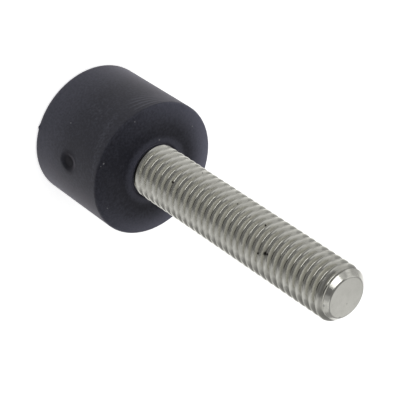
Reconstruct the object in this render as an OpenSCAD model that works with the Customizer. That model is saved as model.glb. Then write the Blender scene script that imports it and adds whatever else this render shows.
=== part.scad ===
// Rubber foot: a round rubber pad moulded round the head of a threaded stud.
// It stands on its rubber base with the stud upright. Millimetres, origin at the centre of the base.

/* [Rubber body] */
// Diameter of the rubber at its stud side
body_d = 20.3; // [19:0.1:26]
// How much smaller the diameter is at the base, for the mould's draft
body_draft = 0.2; // [0:0.1:1]
// Height of the rubber from its base to its stud-side face
body_h = 15; // [13:0.5:30]
// Radius of the rounded edge on the stud side
rim_r = 0.4; // [0.3:0.05:1]
// Radius of the rounded edge at the base
base_r = 0.7; // [0.3:0.05:1]
// Height to which the rubber climbs the stud in a low bead
bead_h = 0.4; // [0.2:0.05:0.8]
// Width of that bead, from the stud outwards
bead_w = 1.2; // [0.8:0.1:2]

/* [Gate mark] */
// Diameter of the round mark in the side
gate_d = 3; // [1.5:0.1:4]
// Depth of the mark below the rubber's side
gate_depth = 0.4; // [0.2:0.05:1]
// Height of the mark's centre above the base
gate_h = 8.2; // [4:0.1:10]

/* [Stud] */
// Outer diameter of the thread
stud_d = 8; // [6:0.5:9]
// Length of the stud above the rubber's stud-side face
stud_len = 40; // [15:1:60]
// Rise of the thread in one turn
pitch = 1.25; // [1:0.05:1.5]
// Length of the chamfer at the stud's end
tip_len = 0.9; // [0.3:0.1:1.5]
// Angle about the stud at which the thread leaves the rubber
thread_start = 260; // [0:5:355]

/* [Anchor head] */
// Width of the hexagon head across its flats
head_af = 13; // [11:0.5:14]
// Height of the head
head_h = 5.3; // [3:0.1:6]
// Rubber above the head, on the stud side
head_cover = 4; // [2:0.5:5]

/* [Hidden] */
$fn = 64;

stud_r = stud_d / 2;
// Shares of the pitch: the depth of the thread, and how much thinner the rod is that it is rolled from
depth_share = 0.5413;
rod_share = 0.6495;
// The plain neck in the rubber keeps the diameter of that rod
neck_d = stud_d - rod_share * pitch;
face_z = body_h;
tip_z = face_z + stud_len;
head_z = face_z - head_cover - head_h;

// Points on each rounded edge of the rubber
edge_steps = 8;

// The groove between the thread's flanks, which stand 60 degrees apart
thread_depth = depth_share * pitch;
root_flat = pitch / 4;
flank_run = tan(30);
turn_steps = 16;
// The groove starts at the rubber's face, and reaches its full depth after this part of a turn
runout_turns = 0.35;
// How far the groove's cutter stands out of the stud and past its end
cut_over = 0.08;
thread_turns = ceil(stud_len / pitch) + 1;
thread_steps = thread_turns * turn_steps;

// Points of an arc about a centre, from one angle to another
function arc(centre, r, from, to) = [
    for (i = [0 : edge_steps])
        let (a = from + (to - from) * i / edge_steps)
        centre + r * [cos(a), sin(a)]
];

// How far the groove has come in at a step, up to 1 at its full depth
function groove_in(i) = min(1, (i + 1) / (turn_steps * runout_turns));

// One section of the groove: two corners at its root and two outside the stud
function groove_section(i) =
    let (
        a = thread_start + 360 * i / turn_steps,
        z = face_z + root_flat + pitch * i / turn_steps,
        outer = stud_r + cut_over,
        inner = outer - (thread_depth + cut_over) * groove_in(i),
        half_root = root_flat / 2,
        half_mouth = half_root + (outer - inner) * flank_run
    )
    [
        [inner * cos(a), inner * sin(a), z - half_root],
        [outer * cos(a), outer * sin(a), z - half_mouth],
        [outer * cos(a), outer * sin(a), z + half_mouth],
        [inner * cos(a), inner * sin(a), z + half_root]
    ];

// A helical bar of the groove's section, which cuts the thread into the stud
module thread_groove() {
    sides = 4;
    points = [for (i = [0 : thread_steps]) each groove_section(i)];
    last = thread_steps * sides;
    walls = [
        for (i = [0 : thread_steps - 1])
            for (s = [0 : sides - 1])
                let (
                    p = i * sides + s,
                    q = i * sides + (s + 1) % sides
                )
                each [[p, q, p + sides], [q, q + sides, p + sides]]
    ];
    ends = [
        [3, 2, 1, 0],
        [last, last + 1, last + 2, last + 3]
    ];
    polyhedron(points, concat(walls, ends), convexity = 10);
}

// The stud without its thread: hexagon head, neck, shank and chamfered end
module stud_blank() {
    translate([0, 0, head_z])
        cylinder(h = head_h, d = head_af / cos(30), $fn = 6);
    translate([0, 0, head_z])
        cylinder(h = tip_z - tip_len - head_z, d = neck_d);
    translate([0, 0, face_z])
        cylinder(h = stud_len - tip_len, d = stud_d);
    translate([0, 0, tip_z - tip_len])
        cylinder(h = tip_len, d1 = stud_d, d2 = stud_d - 2 * tip_len);
}

// Half section of the rubber, from the axis outwards
module rubber_section() {
    top_r = body_d / 2;
    low_r = top_r - body_draft / 2;
    polygon(concat(
        [[0, 0]],
        arc([low_r - base_r, base_r], base_r, 270, 360),
        arc([top_r - rim_r, face_z - rim_r], rim_r, 0, 90),
        [
            for (p = arc([0, 0], 1, 0, 90))
                [stud_r + p.x * bead_w, face_z + p.y * bead_h]
        ],
        [[0, face_z + bead_h]]
    ));
}

module rubber_body() {
    color("#34343a")
        difference() {
            rotate_extrude()
                rubber_section();
            stud_blank();
            translate([0, -body_d / 2, gate_h])
                rotate([90, 0, 0])
                    cylinder(h = 2 * gate_depth, d = gate_d, center = true);
        }
}

module threaded_stud() {
    color("#a8a89c")
        difference() {
            stud_blank();
            thread_groove();
        }
}

rubber_body();
threaded_stud();
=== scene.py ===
"""Rubber foot with a threaded stud, dressed for a studio picture around its CAD solids."""

import math

import bpy
from mathutils import Matrix, Vector, noise


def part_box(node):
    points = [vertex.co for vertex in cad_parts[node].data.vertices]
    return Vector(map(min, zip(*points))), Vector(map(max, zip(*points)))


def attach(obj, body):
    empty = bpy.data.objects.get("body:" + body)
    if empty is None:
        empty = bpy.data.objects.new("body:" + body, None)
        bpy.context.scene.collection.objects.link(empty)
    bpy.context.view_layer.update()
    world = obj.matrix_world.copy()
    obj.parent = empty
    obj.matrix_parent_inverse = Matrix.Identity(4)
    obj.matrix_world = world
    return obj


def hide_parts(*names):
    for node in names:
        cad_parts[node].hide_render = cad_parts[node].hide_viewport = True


bl_info = {
    "name": "Rubber foot",
    "version": (1, 0, 0),
    "blender": (4, 5, 0),
    "location": "3D View > Sidebar > Rubber foot",
    "description": "Models a moulded rubber foot with a threaded stud, and the studio round it",
    "category": "Mesh",
}

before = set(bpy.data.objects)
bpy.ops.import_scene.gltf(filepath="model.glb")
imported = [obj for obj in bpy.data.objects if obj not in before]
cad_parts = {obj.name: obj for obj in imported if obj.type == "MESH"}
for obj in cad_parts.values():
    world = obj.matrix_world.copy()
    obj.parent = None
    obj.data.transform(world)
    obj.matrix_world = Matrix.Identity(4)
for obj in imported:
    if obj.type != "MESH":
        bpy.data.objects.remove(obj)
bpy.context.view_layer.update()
BODY = "root"
MM = 0.001
_, RUBBER_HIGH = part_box("rubber_body")
STUD_LOW, STUD_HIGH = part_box("threaded_stud")
# The stud stands this far out of the rubber's stud-side face
STUD_LENGTH = 40 * MM
FACE_Z = STUD_HIGH.z - STUD_LENGTH

# Each flank of the thread leans this far, so two of them stand 60 degrees apart
FLANK = math.radians(30)
# The gate mark is on the side where Y is lowest
GATE_TURN = -math.pi / 2
# Columns of the stud's mesh, all the way round
STUD_COLUMNS = 96
# Edges that bend by more than this are shaded sharp
RUBBER_SHARP = math.radians(50)
STUD_SHARP = math.radians(25)
# Walls of the room that differ from the rest: azimuth, half width and top in degrees, and share of its light
WALLS = (
    (-36, 44, 58, 0.35),
    (109, 28, 45, 0.7),
    (161, 16, 60, 0.75),
    (-100, 18, 50, 1.35),
)
# Degrees to each side of a wall's edge over which it fades into the room, at its sides and at its top
WALL_SIDE_FADE = 4
WALL_TOP_FADE = 10
# How far the softboxes stand from the part, in metres
SOFTBOX_DISTANCE = 0.6
# Softboxes: azimuth and elevation in degrees, width and height in metres, and brightness next to white
SOFTBOXES = {
    "key_softbox": (-68, 46.5, 0.42, 0.24, 2.7),
    "left_softbox": (56, 28, 0.5, 0.42, 0.26),
    "high_left_softbox": (61, 55, 0.28, 0.28, 0.42),
    "right_softbox": (-151, 42, 0.4, 0.36, 0.36),
    "back_softbox": (142, 38, 0.4, 0.4, 0.34),
}


def linear(hex_colour):
    """An sRGB hex colour as linear red, green and blue."""
    parts = [int(hex_colour[i : i + 2], 16) / 255 for i in (1, 3, 5)]
    return tuple(c / 12.92 if c <= 0.04045 else ((c + 0.055) / 1.055) ** 2.4 for c in parts)


def length(name, description, default_mm):
    """A length that a user may change, given here in millimetres."""
    return bpy.props.FloatProperty(
        name=name, description=description, default=default_mm * MM, unit="LENGTH", precision=5
    )


def angle(name, description, default_deg):
    """An angle that a user may change, given here in degrees."""
    return bpy.props.FloatProperty(
        name=name, description=description, default=math.radians(default_deg), subtype="ANGLE"
    )


def number(name, description, default, low=0.0):
    """A plain number that a user may change."""
    return bpy.props.FloatProperty(name=name, description=description, default=default, min=low)


def colour(name, description, hex_colour):
    """A colour that a user may change, given here as sRGB hex."""
    return bpy.props.FloatVectorProperty(
        name=name, description=description, default=linear(hex_colour), subtype="COLOR", size=3
    )


class RubberSettings(bpy.types.PropertyGroup):
    """The rubber moulding."""

    draft: length("Draft", "How much smaller the diameter is at the base", 0.2)
    base_radius: length("Base radius", "Rounding of the edge at the base", 0.7)
    rim_radius: length("Rim radius", "Rounding of the edge on the stud side", 0.4)
    rim_drop: length("Rim drop", "How far the rim lies below the height of the solid's flat face", 0.1)
    dome: length("Dome", "How far the stud-side face rises from its rim to the foot of the bead", 0.3)
    bead_width: length("Bead width", "Width of the bead, from the stud outwards", 1.6)
    lip_width: length("Lip width", "Width of the rounded lip where the bead meets the stud", 0.35)
    gate_width: length("Gate mark width", "Width of the mark round the side", 2.5)
    gate_length: length("Gate mark length", "Length of the mark along the side", 3.4)
    gate_depth: length("Gate mark depth", "Depth of the mark below the side", 0.26)
    gate_height: length("Gate mark height", "Height of the mark's centre above the base", 8.2)
    gate_lip: length("Gate mark lip", "Height of the lip pushed up round the mark", 0.004)
    flash_height: length("Flash", "Height of the bit of flash left at the base's edge", 0.2)
    flash_turn: angle("Flash place", "Angle about the stud at which that flash is", -101.2)
    colour_main: colour("Rubber", "Main colour of the rubber", "#1b1c25")
    # The gate mark's colour is partly bare torn rubber and partly painted shade in its dish
    colour_torn_and_shade: colour("Torn rubber", "Bare rubber in the gate mark", "#0e0f14")
    # This colour draws both the bloom and the painted sheen at the rim and on the bead
    colour_bloom_and_sheen: colour("Bloom", "Pale bloom on the rubber's skin", "#6c6d7c")
    # This colour draws the real scuffs and flecks and also the painted highlight on the turning lines
    colour_scuff_and_highlight: colour("Scuffs", "Pale scuffs near the rim", "#4a4b54")
    colour_dust: colour("Dust", "Specks of dust on the rubber", "#78787b")
    roughness: number("Roughness", "Roughness of the moulded surface", 0.55)
    specular: number("Specular level", "Strength of the surface's own reflection", 0.26)
    sheen: number("Sheen", "Pale bloom that shows at grazing angles", 0.4)


class StudSettings(bpy.types.PropertyGroup):
    """The threaded stud."""

    diameter: length("Thread diameter", "Outer diameter of the thread", 8.0)
    pitch: length("Pitch", "Rise of the thread in one turn", 1.25)
    crest_width: length("Crest width", "Width of the thread's crest before its lean is cut", 0.09)
    crest_lean: angle("Crest lean", "How far the crest leans towards the stud's end", 32.0)
    root_radius: length("Root radius", "Rounding at the bottom of the groove between two crests", 0.3)
    start: angle("Thread start", "Angle about the stud at which the thread leaves the rubber", 174.0)
    tip_length: length("Chamfer", "Length of the chamfer at the stud's end", 1.1)
    end_radius: length("End radius", "Rounding between the chamfer and the end face", 0.45)
    crown: length("Crown", "How far the stud's end face rises from its edge to its middle", 0.045)
    head_height: length("Head height", "Height of the hexagon head in the rubber", 5.3)
    neck_diameter: length("Neck diameter", "Diameter of the plain neck in the rubber", 7.188)
    colour_zinc: colour("Zinc", "Colour of the plated metal", "#cccbc4")
    colour_stain: colour("Stain", "Duller streaks in the plating", "#b3b2aa")
    # Painted shade: the root colour darkens the groove, partly duller plating and partly shade where the
    # flanks hide one another
    colour_root_and_shade: colour("Root", "Dull plating down in the thread's groove", "#aaa9a2")
    # Painted shade: this colour draws a dark line of shade at the very bottom of the groove
    colour_groove_shade: colour("Dirt", "Dirt at the very bottom of that groove", "#64635d")
    colour_speck: colour("Specks", "Dark specks in the thread's plating", "#2b2a28")
    colour_mark: colour("End marks", "Grey marks on the stud's end", "#a0a09c")
    roughness: number("Roughness", "Roughness of the plating", 0.16)


class StageSettings(bpy.types.PropertyGroup):
    """Floor, lights and camera."""

    view_azimuth: angle("Azimuth", "Camera's turn round the part; 0 looks along +Y", -35.141)
    view_elevation: angle("Elevation", "Camera's height above the horizon", 41.077)
    view_roll: angle("Roll", "Turn of the camera about its own line of sight", 123.704)
    view_distance: length("Distance", "From the camera to the point it looks at", 251.454)
    view_height: length("Aim height", "Height on the stud of the point looked at", 25.352)
    lens: number("Lens", "Focal length in millimetres on a 36 mm wide sensor", 164.817)
    floor_size: length("Floor", "Side of the square floor", 6000.0)
    floor_colour: colour("Floor colour", "Colour of the floor", "#f2f2f2")
    floor_glow: number("Floor glow", "Light added to the floor where it is seen directly or mirrored", 0.68)


def add_node(tree, kind, inputs=None, output=0, **options):
    """Adds a node with its options, sets or links its inputs, and gives back one of its outputs."""
    node = tree.nodes.new(kind)
    for name, value in options.items():
        setattr(node, name, value)
    for name, value in (inputs or {}).items():
        if isinstance(value, bpy.types.NodeSocket):
            tree.links.new(value, node.inputs[name])
        else:
            node.inputs[name].default_value = value
    return node.outputs[output] if node.outputs else None


def new_material(name):
    """A node material with no nodes, and its tree."""
    material = bpy.data.materials.new(name)
    material.use_nodes = True
    material.node_tree.nodes.clear()
    return material, material.node_tree


def rgba(value):
    """A colour property with full opacity."""
    return (*value, 1.0)


def new_piece(name, points, faces, material, node, sharp_angle):
    """A smooth mesh piece that rides on the body and stands for a CAD node."""
    mesh = bpy.data.meshes.new(name)
    mesh.from_pydata(points, [], faces)
    if mesh.validate():
        raise RuntimeError(f"{name} has faulty faces")
    mesh.shade_smooth()
    mesh.set_sharp_from_angle(angle=sharp_angle)
    mesh.materials.append(material)
    piece = bpy.data.objects.new(name, mesh)
    bpy.context.scene.collection.objects.link(piece)
    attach(piece, BODY)
    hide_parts(node)
    return piece


def between(low, high, steps):
    """Evenly spaced values from low to high."""
    return [low + (high - low) * i / steps for i in range(steps + 1)]


def smooth_step(low, high, value):
    """0 below low, 1 above high, and an even curve between."""
    t = min(1.0, max(0.0, (value - low) / (high - low)))
    return t * t * (3 - 2 * t)


def hexagon_radius(turn, across_flats):
    """Distance from the axis to a hexagon's side, with corners on the X axis."""
    return across_flats / 2 / math.cos((turn % (math.pi / 3)) - math.pi / 6)


def around(turn, radius, height):
    """A point at an angle, a radius and a height about the stud's axis."""
    return (radius * math.cos(turn), radius * math.sin(turn), height)


# Rubber


def side_inset(settings, turn, height):
    """How far the side lies inwards at an angle and a height, by the gate mark, its lip and the flash."""
    arc = (turn - GATE_TURN) * RUBBER_HIGH.x
    rise = height - settings.gate_height
    # The rubber tore a little where the gate was pulled off, so the mark's outline and floor are uneven
    tear_size, tear_outline, tear_floor = 0.7 * MM, 0.06, 0.12
    # Where the mark's floor and slope end and where its lip is, as shares of the mark's half size
    floor_end, slope_end, lip_middle, lip_spread = 0.5, 1.1, 1.15, 0.12
    torn = noise.noise(Vector((arc, rise, 0.0)) / tear_size)
    away = math.hypot(2 * arc / settings.gate_width, 2 * rise / settings.gate_length) + tear_outline * torn
    dish = settings.gate_depth * (1 - smooth_step(floor_end, slope_end, away)) * (1 + tear_floor * torn)
    lip = settings.gate_lip * math.exp(-(((away - lip_middle) / lip_spread) ** 2))
    arc = (turn - settings.flash_turn) * RUBBER_HIGH.x
    away = math.hypot(arc, height - 2 * settings.flash_height)
    flash = settings.flash_height * math.exp(-((away / (1.5 * settings.flash_height)) ** 2))
    return dish - lip - flash


def face_height(settings, stud, rim_r, radius):
    """Height of the stud-side face at a radius: a low dome, and a soft bead that climbs the stud."""
    foot_r = stud.diameter / 2 + settings.bead_width
    lip_r = stud.diameter / 2 + settings.lip_width
    dome_z = FACE_Z - settings.rim_drop + settings.dome
    outward = max(0.0, (radius - foot_r) / (rim_r - foot_r))
    bead = (RUBBER_HIGH.z - dome_z) * smooth_step(foot_r, lip_r, radius)
    # At the stud the lip bends down into a narrow crevice
    lip_bend = 1.4 * settings.lip_width
    lip = max(0.0, lip_r - radius) ** 2 / lip_bend
    return dome_z - settings.dome * outward**3 + bead - lip


def rubber_profile(settings, stud):
    """Rings of the rubber as (radius, height) from the base's middle to the pocket, and the head's top."""
    top_r = RUBBER_HIGH.x
    low_r = top_r - settings.draft / 2
    stud_r, neck_r = stud.diameter / 2, stud.neck_diameter / 2
    rim, edge = settings.rim_radius, settings.base_radius
    # Rings lie closer together round the gate mark
    fine = settings.gate_length * 0.7
    # The rim's rounding ends where its slope is that of the dome
    lean = math.radians(78)
    rim_z = FACE_Z - settings.rim_drop - rim * math.sin(lean)

    heights = between(edge, settings.gate_height - fine, 24)
    heights += between(settings.gate_height - fine, settings.gate_height + fine, 64)[1:]
    heights += between(settings.gate_height + fine, rim_z, 20)[1:-1]
    rings = [(r, 0.0) for r in between(0.0, low_r - edge, 6)[1:]]
    quarter = between(0.0, math.pi / 2, 8)[1:-1]
    rings += [(low_r - edge + edge * math.sin(t), edge - edge * math.cos(t)) for t in quarter]
    rings += [(low_r + (top_r - low_r) * (h - edge) / (rim_z - edge), h) for h in heights]
    rings += [(top_r - rim + rim * math.cos(t), rim_z + rim * math.sin(t)) for t in between(0.0, lean, 8)]
    rim_r = rings[-1][0]
    rings += [(r, face_height(settings, stud, rim_r, r)) for r in between(rim_r, stud_r, 60)[1:]]
    # The rubber fills the thread's groove under the lip, and its hole has the neck's radius down to the head
    head_top = STUD_LOW.z + stud.head_height
    root_r = stud_r - thread_sunk(stud, 0.0)
    return rings + [(root_r, rings[-1][1]), (neck_r, FACE_Z), (neck_r, head_top)], head_top


def rubber_mesh(settings, stud):
    """Points and faces of the closed rubber body."""
    fine = settings.gate_width / RUBBER_HIGH.x
    turns = between(GATE_TURN - fine, GATE_TURN + fine, 72)
    turns += between(GATE_TURN + fine, GATE_TURN + 2 * math.pi - fine, 240)[1:-1]
    rings, head_top = rubber_profile(settings, stud)
    side_r = RUBBER_HIGH.x - settings.draft / 2 - settings.base_radius
    across = 2 * STUD_HIGH.y
    points = []
    for radius, height in rings:
        for turn in turns:
            on_side = radius > side_r and height < FACE_Z - settings.rim_radius
            inset = side_inset(settings, turn, height) if on_side else 0.0
            points.append(around(turn, radius - inset, height))
    for height in (head_top, STUD_LOW.z):
        points += [around(turn, hexagon_radius(turn, across), height) for turn in turns]
    columns = len(turns)
    rows = len(points) // columns
    faces = [
        (
            row * columns + i,
            row * columns + (i + 1) % columns,
            (row + 1) * columns + (i + 1) % columns,
            (row + 1) * columns + i,
        )
        for row in range(rows - 1)
        for i in range(columns)
    ]
    base, pocket = len(points), len(points) + 1
    points += [(0.0, 0.0, 0.0), (0.0, 0.0, STUD_LOW.z)]
    last = (rows - 1) * columns
    faces += [(base, (i + 1) % columns, i) for i in range(columns)]
    faces += [(pocket, last + i, last + (i + 1) % columns) for i in range(columns)]
    return points, faces


def spot_mask(tree, place, spots):
    """1 inside small round spots and 0 elsewhere; a spot is its centre and its radius."""
    mask = 0.0
    for centre, size in spots:
        away = add_node(tree, "ShaderNodeVectorMath", {0: place, 1: centre}, "Value", operation="DISTANCE")
        spot = add_node(
            tree, "ShaderNodeMapRange", {"Value": away, "From Min": 1.2 * size, "From Max": 0.5 * size}
        )
        mask = add_node(tree, "ShaderNodeMath", {0: mask, 1: spot}, operation="MAXIMUM")
    return mask


def dust_spots():
    """Where the specks of dust lie on the rubber, with their radius."""
    face_z = FACE_Z / MM
    # X, Y, Z and radius in millimetres
    specks = (
        (-4.75, -0.08, face_z + 0.35, 0.15),
        (-2.57, -9.22, face_z - 0.05, 0.14),
        (-2.2, -9.6, face_z - 0.1, 0.07),
        (-5.72, 5.93, face_z + 0.13, 0.12),
        (-8.15, -4.69, face_z, 0.1),
        (4.6, -7.6, face_z + 0.06, 0.1),
        (-4.91, -8.82, 6.19, 0.1),
    )
    return [((x * MM, y * MM, z * MM), size * MM) for x, y, z, size in specks]


def moulded_black_rubber(settings):
    """Black rubber as it leaves a turned steel mould.

    The eye sees a matte blue-black with a soft sheen at grazing angles, cloudy bloom, a skin drawn paler
    towards the base, a painted sheen along part of the rim and a painted highlight on the bead, pale scuffs
    and fine turning lines near the rim with a painted highlight on the lines, a rougher and darker gate mark
    whose darkness is partly painted shade, and a few specks of dust.
    """
    material, tree = new_material("moulded_black_rubber")
    place = add_node(tree, "ShaderNodeTexCoord", output="Object")
    x = add_node(tree, "ShaderNodeSeparateXYZ", {0: place}, "X")
    y = add_node(tree, "ShaderNodeSeparateXYZ", {0: place}, "Y")
    z = add_node(tree, "ShaderNodeSeparateXYZ", {0: place}, "Z")
    flat = add_node(tree, "ShaderNodeCombineXYZ", {"X": x, "Y": y})
    radius = add_node(tree, "ShaderNodeVectorMath", {0: flat}, "Value", operation="LENGTH")
    turn = add_node(tree, "ShaderNodeMath", {0: y, 1: x}, operation="ARCTAN2")

    # Bloom comes out in clouds a few millimetres across, and the skin is drawn paler towards the base
    cloud = add_node(
        tree, "ShaderNodeTexNoise", {"Vector": place, "Scale": 1 / (4 * MM), "Detail": 7.0, "Roughness": 0.68}
    )
    bloom = add_node(
        tree, "ShaderNodeMapRange", {"Value": cloud, "From Min": 0.35, "From Max": 0.7, "To Max": 0.06}
    )
    # The grain of the mould is finer than this; it is drawn as coarse as it needs to show
    grain = add_node(tree, "ShaderNodeTexNoise", {"Vector": place, "Scale": 1 / (0.32 * MM), "Detail": 3.0})
    mottle = add_node(
        tree,
        "ShaderNodeMapRange",
        {"Value": grain, "From Min": 0.35, "From Max": 0.65, "To Min": -0.06, "To Max": 0.06},
    )
    bloom = add_node(tree, "ShaderNodeMath", {0: bloom, 1: mottle}, operation="ADD")
    at_base = add_node(
        tree,
        "ShaderNodeMapRange",
        {"Value": z, "From Min": 9 * MM, "From Max": 0.5 * MM, "To Max": 0.26},
        interpolation_type="SMOOTHSTEP",
    )
    bloom = add_node(tree, "ShaderNodeMath", {0: bloom, 1: at_base}, operation="ADD")
    # Painted sheen: the stud-side face is drawn paler at its rim, most of all on one side, standing in for
    # grazing light there
    outward = add_node(
        tree,
        "ShaderNodeMapRange",
        {"Value": radius, "From Min": 5.7 * MM, "From Max": 10.2 * MM},
        interpolation_type="SMOOTHSTEP",
    )
    on_face = add_node(
        tree, "ShaderNodeMapRange", {"Value": z, "From Min": FACE_Z - 0.5 * MM, "From Max": FACE_Z - 0.2 * MM}
    )
    from_side = add_node(tree, "ShaderNodeMath", {0: turn, 1: math.radians(72)}, operation="SUBTRACT")
    from_side = add_node(tree, "ShaderNodeMath", {0: from_side}, operation="COSINE")
    from_side = add_node(tree, "ShaderNodeMapRange", {"Value": from_side, "From Min": -1.0})
    painted_rim_sheen = add_node(tree, "ShaderNodeMath", {0: from_side, 1: outward}, operation="MULTIPLY")
    # Painted highlight: the bead is drawn paler, standing in for the light that catches its slope
    painted_bead_highlight = add_node(
        tree,
        "ShaderNodeMapRange",
        {"Value": radius, "From Min": 5.6 * MM, "From Max": 4.4 * MM, "To Max": 0.3},
        interpolation_type="SMOOTHSTEP",
    )
    painted_face_sheen = add_node(tree, "ShaderNodeMath", {0: painted_rim_sheen, 1: painted_bead_highlight}, operation="MAXIMUM")
    # Painted sheen: the rim's sheen and the bead's highlight join the bloom here and are drawn in the bloom
    # colour
    bloom = add_node(tree, "ShaderNodeMath", {0: painted_face_sheen, 1: on_face, 2: bloom}, operation="MULTIPLY_ADD")
    skin = add_node(
        tree,
        "ShaderNodeMix",
        {0: bloom, 6: rgba(settings.colour_main), 7: rgba(settings.colour_bloom_and_sheen)},
        2,
        data_type="RGBA",
    )

    # A pale scuff climbs slowly round the side, 2 mm in a radian, towards the rim
    below_rim = add_node(
        tree, "ShaderNodeMapRange", {"Value": z, "From Min": 14.75 * MM, "From Max": 14.4 * MM}
    )
    from_middle = add_node(tree, "ShaderNodeMath", {0: turn, 1: math.radians(121)}, operation="ADD")
    climb = add_node(
        tree, "ShaderNodeMath", {0: from_middle, 1: 2 * MM, 2: 13.05 * MM}, operation="MULTIPLY_ADD"
    )
    off_line = add_node(tree, "ShaderNodeMath", {0: z, 1: climb}, operation="SUBTRACT")
    off_line = add_node(tree, "ShaderNodeMath", {0: off_line}, operation="ABSOLUTE")
    scuff = add_node(
        tree,
        "ShaderNodeMapRange",
        {"Value": off_line, "From Min": 0.9 * MM, "From Max": 0.0, "To Max": 0.4},
        interpolation_type="SMOOTHSTEP",
    )
    reach = add_node(tree, "ShaderNodeMath", {0: from_middle}, operation="ABSOLUTE")
    reach = add_node(
        tree,
        "ShaderNodeMapRange",
        {"Value": reach, "From Min": math.radians(42), "From Max": math.radians(15)},
    )
    scuff = add_node(tree, "ShaderNodeMath", {0: scuff, 1: reach}, operation="MULTIPLY")
    scuff = add_node(tree, "ShaderNodeMath", {0: scuff, 1: below_rim}, operation="MULTIPLY")
    broken = add_node(tree, "ShaderNodeMapRange", {"Value": grain, "From Min": 0.35, "From Max": 0.65})
    scuff = add_node(tree, "ShaderNodeMath", {0: scuff, 1: broken}, operation="MULTIPLY")

    # Turning lines of the mould fan out below the rim, on the side where X is lowest; their bumps are real,
    # and their pale colour is a painted highlight where light catches them
    back_x = add_node(tree, "ShaderNodeMath", {0: x, 1: -1.0}, operation="MULTIPLY")
    back_y = add_node(tree, "ShaderNodeMath", {0: y, 1: -1.0}, operation="MULTIPLY")
    back_turn = add_node(tree, "ShaderNodeMath", {0: back_y, 1: back_x}, operation="ARCTAN2")
    spacing = add_node(
        tree, "ShaderNodeMath", {0: back_turn, 1: 0.9 * MM, 2: 0.52 * MM}, operation="MULTIPLY_ADD"
    )
    below = add_node(tree, "ShaderNodeMath", {0: z, 1: 14.4 * MM}, operation="SUBTRACT")
    waves = add_node(tree, "ShaderNodeMath", {0: below, 1: spacing}, operation="DIVIDE")
    waves = add_node(tree, "ShaderNodeMath", {0: waves, 1: 2 * math.pi}, operation="MULTIPLY")
    waves = add_node(tree, "ShaderNodeMath", {0: waves}, operation="SINE")
    in_fan = add_node(tree, "ShaderNodeMath", {0: back_turn, 1: 0.06}, operation="SUBTRACT")
    in_fan = add_node(tree, "ShaderNodeMath", {0: in_fan}, operation="ABSOLUTE")
    in_fan = add_node(tree, "ShaderNodeMapRange", {"Value": in_fan, "From Min": 0.45, "From Max": 0.2})
    up_there = add_node(tree, "ShaderNodeMapRange", {"Value": z, "From Min": 10.5 * MM, "From Max": 12 * MM})
    in_fan = add_node(tree, "ShaderNodeMath", {0: in_fan, 1: up_there}, operation="MULTIPLY")
    in_fan = add_node(tree, "ShaderNodeMath", {0: in_fan, 1: below_rim}, operation="MULTIPLY")
    lines = add_node(tree, "ShaderNodeMath", {0: waves, 1: in_fan}, operation="MULTIPLY")
    fan = add_node(
        tree, "ShaderNodeMapRange", {"Value": lines, "From Min": 0.2, "From Max": 1.0, "To Max": 0.8}
    )

    # Rubbed flecks in one patch of the side
    patch = spot_mask(tree, place, [((-7.6 * MM, -6.66 * MM, 9.4 * MM), 2.2 * MM)])
    grit = add_node(tree, "ShaderNodeTexNoise", {"Vector": place, "Scale": 1 / (0.4 * MM), "Detail": 2.0})
    flecks = add_node(
        tree, "ShaderNodeMapRange", {"Value": grit, "From Min": 0.5, "From Max": 0.7, "To Max": 0.4}
    )
    flecks = add_node(tree, "ShaderNodeMath", {0: flecks, 1: patch}, operation="MULTIPLY")

    # Painted highlight: the turning lines' paleness joins the real scuffs and flecks here
    pale = add_node(tree, "ShaderNodeMath", {0: scuff, 1: fan}, operation="MAXIMUM")
    pale = add_node(tree, "ShaderNodeMath", {0: pale, 1: flecks}, operation="MAXIMUM")
    skin = add_node(
        tree, "ShaderNodeMix", {0: pale, 6: skin, 7: rgba(settings.colour_scuff_and_highlight)}, 2, data_type="RGBA"
    )
    # Painted shade: the gate mark is drawn darker, partly bare torn rubber and partly shade in its shallow
    # dish
    gate = around(GATE_TURN, RUBBER_HIGH.x, settings.gate_height)
    torn = spot_mask(tree, place, [(gate, settings.gate_length / 2)])
    skin = add_node(
        tree, "ShaderNodeMix", {0: torn, 6: skin, 7: rgba(settings.colour_torn_and_shade)}, 2, data_type="RGBA"
    )
    # Torn rubber is rougher than the moulded skin round it
    rough = add_node(
        tree, "ShaderNodeMapRange", {"Value": torn, "To Min": settings.roughness, "To Max": 0.95}
    )
    dust = spot_mask(tree, place, dust_spots())
    skin = add_node(
        tree, "ShaderNodeMix", {0: dust, 6: skin, 7: rgba(settings.colour_dust)}, 2, data_type="RGBA"
    )

    height = add_node(tree, "ShaderNodeMath", {0: lines, 1: 0.4, 2: grain}, operation="MULTIPLY_ADD")
    bump = add_node(tree, "ShaderNodeBump", {"Strength": 0.35, "Distance": 0.02 * MM, "Height": height})
    shader = add_node(
        tree,
        "ShaderNodeBsdfPrincipled",
        {
            "Base Color": skin,
            "Normal": bump,
            "Roughness": rough,
            "IOR": 1.45,
            "Specular IOR Level": settings.specular,
            "Sheen Weight": settings.sheen,
            "Sheen Roughness": 0.4,
            "Sheen Tint": rgba(linear("#e2dcea")),
        },
    )
    add_node(tree, "ShaderNodeOutputMaterial", {"Surface": shader})
    return material


class FOOT_OT_rubber_body(bpy.types.Operator):
    """Model the rubber moulding with its bead, gate mark and pocket"""

    bl_idname = "foot.rubber_body"
    bl_label = "Rubber body"

    def execute(self, context):
        settings = context.scene.foot_rubber
        points, faces = rubber_mesh(settings, context.scene.foot_stud)
        material = moulded_black_rubber(settings)
        new_piece("moulded_rubber_body", points, faces, material, "rubber_body", RUBBER_SHARP)
        return {"FINISHED"}


# Stud


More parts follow.
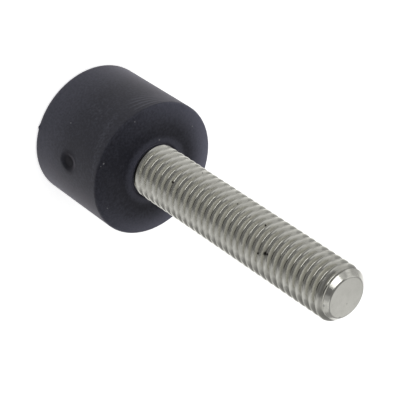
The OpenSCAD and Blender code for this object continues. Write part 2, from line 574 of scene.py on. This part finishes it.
def thread_sunk(settings, phase):
    """How far the thread lies below its outer diameter at a phase of its pitch; its crest is at 0.5.

    The crest leans towards the stud's end, and the root between two flanks is round.
    """
    past_crest = (phase - 0.5) * settings.pitch
    half_crest = settings.crest_width / 2
    to_root = settings.pitch / 2 - abs(past_crest)
    root_foot = settings.root_radius * math.cos(FLANK)
    if to_root < root_foot:
        middle = (settings.pitch / 2 - half_crest - root_foot) / math.tan(FLANK)
        middle -= settings.root_radius * math.sin(FLANK)
        return middle + math.sqrt(settings.root_radius**2 - to_root**2)
    crest = (past_crest + half_crest) * math.tan(settings.crest_lean)
    flank = (abs(past_crest) - half_crest) / math.tan(FLANK)
    return max(crest, flank)


def thread_rows(settings):
    """Phases of one pitch at which the thread's mesh has a row, on the root, the flanks and the crest."""
    half_crest = settings.crest_width / 2
    lean, slope = math.tan(settings.crest_lean), 1 / math.tan(FLANK)
    low = 0.5 - half_crest / settings.pitch
    high = 0.5 + half_crest * (slope + lean) / (slope - lean) / settings.pitch
    tilts = between(0.0, math.pi / 2 - FLANK, 8)
    root = [settings.root_radius * math.sin(t) / settings.pitch for t in tilts]
    rows = root + between(root[-1], low, 3)[1:] + between(low, high, 2)[1:]
    return rows + between(high, 1 - root[-1], 3)[1:] + [1 - r for r in root[-2:0:-1]]


def thread_radius(settings, turn, height):
    """Distance from the axis to the thread, which starts at the rubber's face."""
    phase = ((height - FACE_Z) / settings.pitch - (turn - settings.start) / (2 * math.pi)) % 1.0
    # The groove reaches its full depth this far above the rubber's face
    run_in = 0.3 * MM
    sunk = thread_sunk(settings, phase) * smooth_step(0.0, run_in, height - FACE_Z)
    return settings.diameter / 2 - sunk


def chamfer_radius(settings, height):
    """Distance from the axis to the cone at the stud's end."""
    return settings.diameter / 2 - settings.tip_length + STUD_HIGH.z - height


def thread_top(settings, turn):
    """Height at which the last of the thread comes out in the chamfer."""
    for height in between(STUD_HIGH.z, STUD_HIGH.z - 2 * settings.tip_length, 400):
        if thread_radius(settings, turn, height) < chamfer_radius(settings, height):
            return height
    raise RuntimeError("The thread never comes out in the chamfer")


def stud_mesh(settings):
    """Points and faces of the closed stud.

    The rows of the thread follow its helix, so each crest is one clean line. Rings close it below and above:
    the head and neck in the rubber, and the chamfered end with its rounded edge and low crown.
    """
    rows = thread_rows(settings)
    columns, per_turn = STUD_COLUMNS, len(rows)
    across = 2 * STUD_HIGH.y
    neck_r = settings.neck_diameter / 2
    head_top = STUD_LOW.z + settings.head_height
    turns = [settings.start + 2 * math.pi * i / columns for i in range(columns)]
    # The thread's own rows start just above the face
    low = FACE_Z + 0.02 * MM
    tops = [thread_top(settings, t) for t in turns]
    points, faces = [], []

    def ring(radii, heights):
        first = len(points)
        points.extend(around(t, r, h) for t, r, h in zip(turns, radii, heights))
        return [first + i for i in range(columns)]

    def level(radius, height):
        return ring([radius] * columns, [height] * columns)

    def join(lower, upper):
        for i in range(columns):
            k = (i + 1) % columns
            faces.append((lower[i], lower[k], upper[k], upper[i]))

    def close(edge, height, upward):
        middle = len(points)
        points.append((0.0, 0.0, height))
        for i in range(columns):
            k = (i + 1) % columns
            faces.append((middle, edge[i], edge[k]) if upward else (middle, edge[k], edge[i]))

    hexagon = [hexagon_radius(t, across) for t in turns]
    levels = [
        ring(hexagon, [STUD_LOW.z] * columns),
        ring(hexagon, [head_top] * columns),
        level(neck_r, head_top),
        level(neck_r, FACE_Z),
        level(settings.diameter / 2, FACE_Z),
        ring([thread_radius(settings, t, low) for t in turns], [low] * columns),
    ]
    close(levels[0], STUD_LOW.z, False)
    for lower, upper in zip(levels, levels[1:]):
        join(lower, upper)

    def row_height(i, row):
        whole, part = divmod(row, per_turn)
        return FACE_Z + settings.pitch * (whole + rows[part] + i / columns)

    helix = []
    turns_up = math.ceil(STUD_LENGTH / settings.pitch)
    for i, t in enumerate(turns):
        column = {}
        for row in range(-per_turn, turns_up * per_turn):
            height = row_height(i, row)
            if low < height < tops[i]:
                column[row] = len(points)
                radius = min(thread_radius(settings, t, height), chamfer_radius(settings, height))
                points.append(around(t, radius, height))
        helix.append(column)
    helix.append({row - per_turn: point for row, point in helix[0].items()})

    foot, brim = [], []
    for i in range(columns):
        here, there = helix[i], helix[i + 1]
        lowest, highest = max(min(here), min(there)), min(max(here), max(there))
        for row in range(lowest, highest):
            faces.append((here[row], there[row], there[row + 1], here[row + 1]))
        for row in range(min(there), lowest):
            faces.append((here[lowest], there[row], there[row + 1]))
        for row in range(highest, max(here)):
            faces.append((there[highest], here[row + 1], here[row]))
        foot.append(here[min(here)])
        brim.append(here[max(here)])
    join(levels[-1], foot)

    # The chamfer stands at 45 degrees, and an arc rounds it into the end face
    edge = brim
    end_z = STUD_HIGH.z - settings.crown
    bend = settings.end_radius
    bend_z = end_z - bend
    face_r = chamfer_radius(settings, end_z) - bend * math.tan(math.pi / 8)
    cone_top = bend_z + bend * math.sin(math.pi / 4)
    for share in between(0.0, 1.0, 8):
        heights = [top + (cone_top - top) * share for top in tops]
        upper = ring([chamfer_radius(settings, h) for h in heights], heights)
        join(edge, upper)
        edge = upper
    for tilt in between(math.pi / 4, math.pi / 2, 8)[1:]:
        upper = level(face_r + bend * math.cos(tilt), bend_z + bend * math.sin(tilt))
        join(edge, upper)
        edge = upper
    for share in (0.9, 0.75, 0.6, 0.45, 0.3, 0.15):
        upper = level(face_r * share, STUD_HIGH.z - settings.crown * share**2)
        join(edge, upper)
        edge = upper
    close(edge, STUD_HIGH.z, True)
    return points, faces


def thread_specks(settings):
    """Where the dark specks are in the thread's plating, with their radius."""
    # Angle about the stud in degrees, height above the rubber and radius in millimetres
    specks = (
        (-106.2, 27.58, 0.3),
        (-110.0, 28.44, 0.17),
        (-96.9, 26.4, 0.18),
        (-159.7, 24.79, 0.18),
        (-124.7, 7.45, 0.21),
        (173.6, 9.57, 0.1),
        (-167.3, 18.53, 0.11),
    )
    spots = []
    for turn, above, size in specks:
        turn, height = math.radians(turn), FACE_Z + above * MM
        spots.append((around(turn, thread_radius(settings, turn, height), height), size * MM))
    return spots


def end_marks(settings):
    """Grey marks on the stud's end face and chamfer, with their radius."""
    # X, Y and radius in millimetres
    marks = (
        (0.6, -3.44, 0.22),
        (1.94, -3.04, 0.22),
        (2.87, -0.53, 0.24),
        (2.87, 1.78, 0.24),
        (0.94, 0.25, 0.1),
    )
    flat_r = settings.diameter / 2 - settings.tip_length
    spots = []
    for x, y, size in marks:
        drop = max(0.0, math.hypot(x, y) * MM - flat_r)
        spots.append(((x * MM, y * MM, STUD_HIGH.z - drop), size * MM))
    return spots


def zinc_plated_steel(settings):
    """Steel with a rolled thread and a thin coat of zinc.

    The eye sees a warm grey metal with fine lines along the thread and faint duller streaks, a groove drawn
    duller and darker, partly thinner plating and partly painted shade, with a painted line of shade at its
    bottom, a few dark specks, and grey marks on the cut end.
    """
    material, tree = new_material("zinc_plated_steel")
    place = add_node(tree, "ShaderNodeTexCoord", output="Object")
    z = add_node(tree, "ShaderNodeSeparateXYZ", {0: place}, "Z")
    # Rolling lines run round the stud, so the pattern changes fast along it and slowly across it
    along = add_node(tree, "ShaderNodeVectorMath", {0: place, 1: (0.25, 0.25, 1.0)}, operation="MULTIPLY")
    streaks = add_node(tree, "ShaderNodeTexNoise", {"Vector": along, "Scale": 1 / (0.35 * MM), "Detail": 3.0})
    dull = add_node(tree, "ShaderNodeMapRange", {"Value": streaks, "From Min": 0.4, "From Max": 0.8})
    # The end was cut off, not rolled, so the streaks stop short of it
    rolled = add_node(
        tree,
        "ShaderNodeMapRange",
        {"Value": z, "From Min": STUD_HIGH.z - 0.1 * MM, "From Max": STUD_HIGH.z - 0.6 * MM, "To Min": 0.2},
    )
    dull = add_node(tree, "ShaderNodeMath", {0: dull, 1: rolled}, operation="MULTIPLY")
    skin = add_node(
        tree,
        "ShaderNodeMix",
        {0: dull, 6: rgba(settings.colour_zinc), 7: rgba(settings.colour_stain)},
        2,
        data_type="RGBA",
    )
    # Plating is drawn duller and darker down in the groove: partly thinner plating, partly painted shade
    # where the flanks hide one another
    flat = add_node(tree, "ShaderNodeVectorMath", {0: place, 1: (1.0, 1.0, 0.0)}, operation="MULTIPLY")
    radius = add_node(tree, "ShaderNodeVectorMath", {0: flat}, "Value", operation="LENGTH")
    cone_z = chamfer_radius(settings, 0.0)
    blank = add_node(tree, "ShaderNodeMath", {0: cone_z, 1: z}, operation="SUBTRACT")
    blank = add_node(tree, "ShaderNodeMath", {0: blank, 1: settings.diameter / 2}, operation="MINIMUM")
    depth = add_node(tree, "ShaderNodeMath", {0: blank, 1: radius}, operation="SUBTRACT")
    root = add_node(
        tree,
        "ShaderNodeMapRange",
        {"Value": depth, "From Min": 0.1 * MM, "From Max": 0.4 * MM},
        interpolation_type="SMOOTHSTEP",
    )
    below_end = add_node(
        tree,
        "ShaderNodeMapRange",
        {"Value": z, "From Min": STUD_HIGH.z - 0.05 * MM, "From Max": STUD_HIGH.z - 0.15 * MM},
    )
    root = add_node(tree, "ShaderNodeMath", {0: root, 1: below_end}, operation="MULTIPLY")
    skin = add_node(
        tree, "ShaderNodeMix", {0: root, 6: skin, 7: rgba(settings.colour_root_and_shade)}, 2, data_type="RGBA"
    )
    # Painted shade: the very bottom of the groove is drawn dark, as a line of shade
    root_depth = thread_sunk(settings, 0.0)
    painted_groove_shade = add_node(
        tree,
        "ShaderNodeMapRange",
        {"Value": depth, "From Min": root_depth - 0.05 * MM, "From Max": root_depth - 0.015 * MM},
    )
    painted_groove_shade = add_node(tree, "ShaderNodeMath", {0: painted_groove_shade, 1: below_end}, operation="MULTIPLY")
    skin = add_node(
        tree, "ShaderNodeMix", {0: painted_groove_shade, 6: skin, 7: rgba(settings.colour_groove_shade)}, 2, data_type="RGBA"
    )
    specks = spot_mask(tree, place, thread_specks(settings))
    skin = add_node(
        tree, "ShaderNodeMix", {0: specks, 6: skin, 7: rgba(settings.colour_speck)}, 2, data_type="RGBA"
    )
    marks = spot_mask(tree, place, end_marks(settings))
    skin = add_node(
        tree, "ShaderNodeMix", {0: marks, 6: skin, 7: rgba(settings.colour_mark)}, 2, data_type="RGBA"
    )
    rough = add_node(
        tree,
        "ShaderNodeMapRange",
        {
            "Value": streaks,
            "From Min": 0.3,
            "From Max": 0.7,
            "To Min": settings.roughness - 0.05,
            "To Max": settings.roughness + 0.08,
        },
    )
    bump_share = add_node(tree, "ShaderNodeMath", {0: rolled, 1: 0.3}, operation="MULTIPLY")
    bump = add_node(
        tree, "ShaderNodeBump", {"Strength": bump_share, "Distance": 0.01 * MM, "Height": streaks}
    )
    shader = add_node(
        tree,
        "ShaderNodeBsdfPrincipled",
        {"Base Color": skin, "Metallic": 1.0, "Roughness": rough, "Normal": bump},
    )
    add_node(tree, "ShaderNodeOutputMaterial", {"Surface": shader})
    return material


class FOOT_OT_threaded_stud(bpy.types.Operator):
    """Model the stud with its helical thread, chamfered end and hexagon head"""

    bl_idname = "foot.threaded_stud"
    bl_label = "Threaded stud"

    def execute(self, context):
        settings = context.scene.foot_stud
        points, faces = stud_mesh(settings)
        material = zinc_plated_steel(settings)
        new_piece("zinc_plated_stud", points, faces, material, "threaded_stud", STUD_SHARP)
        return {"FINISHED"}


# Stage


def white_paper_floor(settings):
    """Smooth white paper: it shows a faint soft shadow and otherwise plain white, also in the metal."""
    material, tree = new_material("white_paper_floor")
    seen = add_node(tree, "ShaderNodeLightPath", output="Is Camera Ray")
    for ray in ("Is Glossy Ray", "Is Transmission Ray"):
        mirrored = add_node(tree, "ShaderNodeLightPath", output=ray)
        seen = add_node(tree, "ShaderNodeMath", {0: seen, 1: mirrored}, operation="MAXIMUM")
    paper = add_node(tree, "ShaderNodeBsdfDiffuse", {"Color": rgba(settings.floor_colour)})
    glow = add_node(tree, "ShaderNodeEmission", {"Strength": settings.floor_glow})
    lit = add_node(tree, "ShaderNodeAddShader", {0: paper, 1: glow})
    surface = add_node(tree, "ShaderNodeMixShader", {0: seen, 1: paper, 2: lit})
    add_node(tree, "ShaderNodeOutputMaterial", {"Surface": surface})
    return material


def studio_room():
    """A pale room, brightest at the horizon and dimmer overhead, with three dark walls and a bright one."""
    world = bpy.data.worlds.new("studio_room")
    world.use_nodes = True
    tree = world.node_tree
    tree.nodes.clear()
    direction = add_node(tree, "ShaderNodeTexCoord", output="Generated")
    x = add_node(tree, "ShaderNodeSeparateXYZ", {0: direction}, "X")
    y = add_node(tree, "ShaderNodeSeparateXYZ", {0: direction}, "Y")
    z = add_node(tree, "ShaderNodeSeparateXYZ", {0: direction}, "Z")
    strength = add_node(tree, "ShaderNodeMapRange", {"Value": z, "To Min": 0.75, "To Max": 0.56})
    ceiling = add_node(
        tree,
        "ShaderNodeMapRange",
        {"Value": z, "From Min": 0.66, "From Max": 0.93, "To Min": 1.0, "To Max": 0.54},
        interpolation_type="SMOOTHSTEP",
    )
    strength = add_node(tree, "ShaderNodeMath", {0: strength, 1: ceiling}, operation="MULTIPLY")
    for azimuth, half_width, top, share in WALLS:
        middle = direction_to(math.radians(azimuth), 0.0)
        cross = add_node(tree, "ShaderNodeMath", {0: x, 1: -middle.y}, operation="MULTIPLY")
        cross = add_node(tree, "ShaderNodeMath", {0: y, 1: middle.x, 2: cross}, operation="MULTIPLY_ADD")
        ahead = add_node(tree, "ShaderNodeMath", {0: x, 1: middle.x}, operation="MULTIPLY")
        ahead = add_node(tree, "ShaderNodeMath", {0: y, 1: middle.y, 2: ahead}, operation="MULTIPLY_ADD")
        aside = add_node(tree, "ShaderNodeMath", {0: cross, 1: ahead}, operation="ARCTAN2")
        aside = add_node(tree, "ShaderNodeMath", {0: aside}, operation="ABSOLUTE")
        outer, inner = math.radians(half_width + WALL_SIDE_FADE), math.radians(half_width - WALL_SIDE_FADE)
        within = add_node(tree, "ShaderNodeMapRange", {"Value": aside, "From Min": outer, "From Max": inner})
        outer, inner = math.radians(top + WALL_TOP_FADE), math.radians(top - WALL_TOP_FADE)
        below = add_node(
            tree,
            "ShaderNodeMapRange",
            {"Value": z, "From Min": math.sin(outer), "From Max": math.sin(inner)},
        )
        shade = add_node(tree, "ShaderNodeMath", {0: within, 1: below}, operation="MULTIPLY")
        shade = add_node(tree, "ShaderNodeMapRange", {"Value": shade, "To Min": 1.0, "To Max": share})
        strength = add_node(tree, "ShaderNodeMath", {0: strength, 1: shade}, operation="MULTIPLY")
    room = add_node(tree, "ShaderNodeBackground", {"Strength": strength})
    add_node(tree, "ShaderNodeOutputWorld", {"Surface": room})
    bpy.context.scene.world = world


def direction_to(azimuth, elevation):
    """The unit vector from the part towards an azimuth and an elevation; azimuth 0 is -Y."""
    return Vector(
        (
            math.sin(azimuth) * math.cos(elevation),
            -math.cos(azimuth) * math.cos(elevation),
            math.sin(elevation),
        )
    )


def add_softbox(name, azimuth_deg, elevation_deg, width, height, radiance):
    """A flat lamp that faces the part; radiance is how bright it looks next to white."""
    lamp = bpy.data.lights.new(name, "AREA")
    lamp.shape = "RECTANGLE"
    lamp.size = width
    lamp.size_y = height
    lamp.energy = radiance * math.pi * width * height
    towards = direction_to(math.radians(azimuth_deg), math.radians(elevation_deg))
    holder = bpy.data.objects.new(name, lamp)
    holder.location = towards * SOFTBOX_DISTANCE + Vector((0, 0, STUD_HIGH.z / 2))
    holder.rotation_mode = "QUATERNION"
    holder.rotation_quaternion = towards.to_track_quat("Z", "Y")
    bpy.context.scene.collection.objects.link(holder)


def add_camera(settings):
    """The camera, turned about its line of sight so that the stud points down to the right."""
    lens = bpy.data.cameras.new("camera")
    lens.sensor_width = 36.0
    lens.lens = settings.lens
    lens.clip_start = 0.01
    lens.clip_end = 20.0
    camera = bpy.data.objects.new("camera", lens)
    back = direction_to(settings.view_azimuth, settings.view_elevation)
    camera.location = Vector((0, 0, settings.view_height)) + back * settings.view_distance
    camera.rotation_mode = "QUATERNION"
    level = back.to_track_quat("Z", "Y")
    camera.rotation_quaternion = level @ Matrix.Rotation(settings.view_roll, 3, "Z").to_quaternion()
    bpy.context.scene.collection.objects.link(camera)
    bpy.context.scene.camera = camera


class FOOT_OT_stage(bpy.types.Operator):
    """Set up the floor, the room, the lamps and the camera"""

    bl_idname = "foot.stage"
    bl_label = "Stage"

    def execute(self, context):
        settings = context.scene.foot_stage
        half = settings.floor_size / 2
        mesh = bpy.data.meshes.new("floor")
        corners = [(-half, -half, 0), (half, -half, 0), (half, half, 0), (-half, half, 0)]
        mesh.from_pydata(corners, [], [(0, 1, 2, 3)])
        mesh.materials.append(white_paper_floor(settings))
        floor = bpy.data.objects.new("floor", mesh)
        context.scene.collection.objects.link(floor)
        studio_room()
        for name, softbox in SOFTBOXES.items():
            add_softbox(name, *softbox)
        add_camera(settings)
        context.scene.view_settings.view_transform = "Standard"
        return {"FINISHED"}


class FOOT_PT_panel(bpy.types.Panel):
    """Buttons for the pieces of the foot and its stage"""

    bl_idname = "FOOT_PT_panel"
    bl_label = "Rubber foot"
    bl_space_type = "VIEW_3D"
    bl_region_type = "UI"
    bl_category = "Rubber foot"

    def draw(self, context):
        for operator, group in (
            ("foot.rubber_body", "foot_rubber"),
            ("foot.threaded_stud", "foot_stud"),
            ("foot.stage", "foot_stage"),
        ):
            box = self.layout.box()
            settings = getattr(context.scene, group)
            for name in settings.__annotations__:
                box.prop(settings, name)
            box.operator(operator)


CLASSES = (
    RubberSettings,
    StudSettings,
    StageSettings,
    FOOT_OT_rubber_body,
    FOOT_OT_threaded_stud,
    FOOT_OT_stage,
    FOOT_PT_panel,
)


def register():
    """Registers the classes and puts their settings on the scene."""
    for cls in CLASSES:
        bpy.utils.register_class(cls)
    bpy.types.Scene.foot_rubber = bpy.props.PointerProperty(type=RubberSettings)
    bpy.types.Scene.foot_stud = bpy.props.PointerProperty(type=StudSettings)
    bpy.types.Scene.foot_stage = bpy.props.PointerProperty(type=StageSettings)


def unregister():
    """Takes the settings and the classes away again."""
    del bpy.types.Scene.foot_rubber
    del bpy.types.Scene.foot_stud
    del bpy.types.Scene.foot_stage
    for cls in reversed(CLASSES):
        bpy.utils.unregister_class(cls)


def main():
    """Makes the pieces and the stage."""
    register()
    bpy.ops.foot.rubber_body()
    bpy.ops.foot.threaded_stud()
    bpy.ops.foot.stage()


if __name__ == "__main__":
    main()
